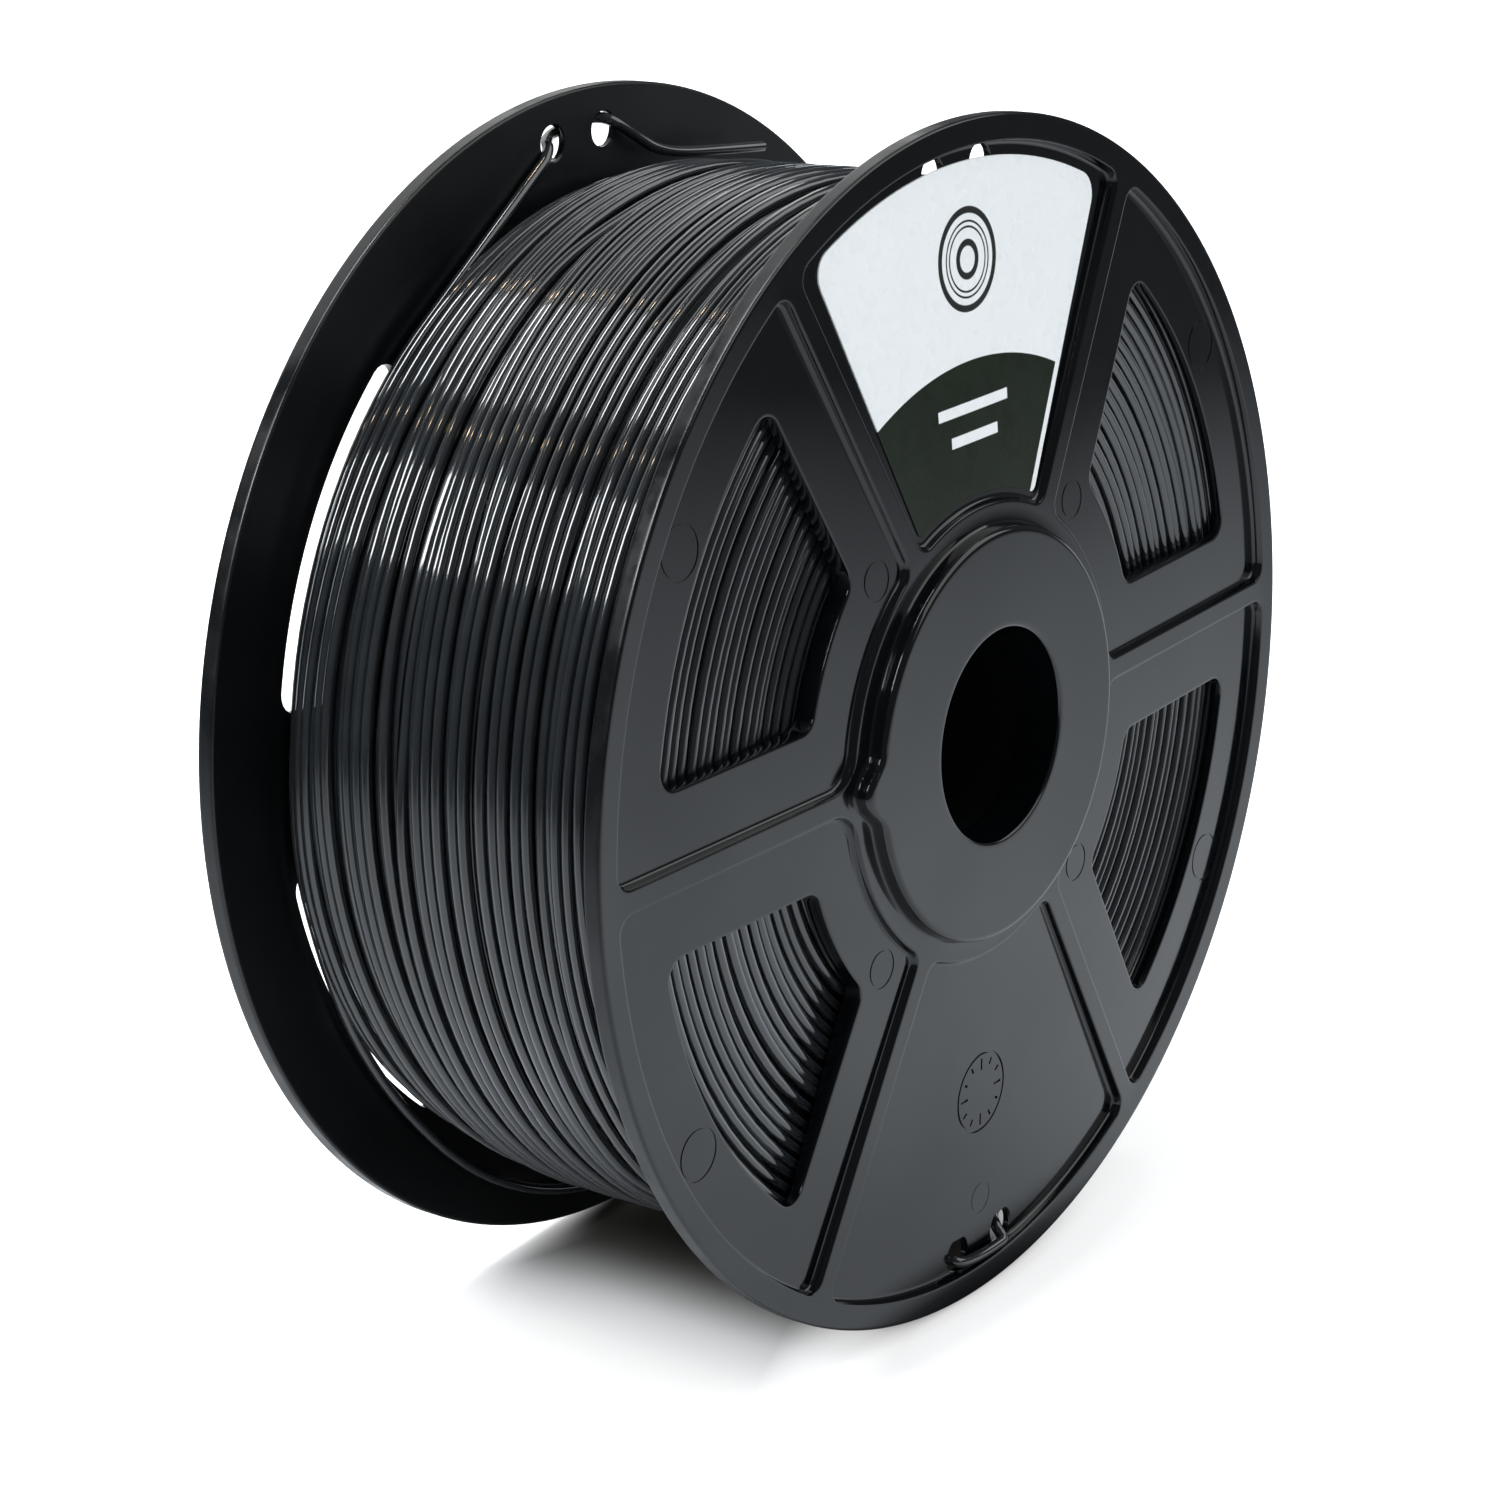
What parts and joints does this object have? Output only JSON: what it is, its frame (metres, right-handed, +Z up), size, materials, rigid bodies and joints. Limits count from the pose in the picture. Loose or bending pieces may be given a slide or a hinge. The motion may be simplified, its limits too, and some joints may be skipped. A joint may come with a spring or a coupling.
{
  "type": "filament spool",
  "caption": "Full spool of 3D printer filament: two moulded flanges with windows, ribs and a central bore, a drum, the wound strand with its threaded end, and a label.",
  "frame": {"origin": "middle of the bore: on its axis, halfway between the two hub faces", "axes": "+Y along the bore from the labelled front flange to the rear flange, +Z up through the label, +X to the right seen from the front"},
  "size_m": [0.18, 0.08, 0.18],
  "materials": {
    "flange": "satin black moulding",
    "barrel": "satin black moulding",
    "filament": "glossy dark grey filament",
    "label": "coated paper label, pale above and dark green below"
  },
  "bodies": {
    "root": {"front_flange": "flange", "rear_flange": "flange", "barrel": "barrel", "filament_core": "filament", "filament_outer_layer": "filament", "filament_start": "filament", "label": "label"}
  },
  "joints": []
}
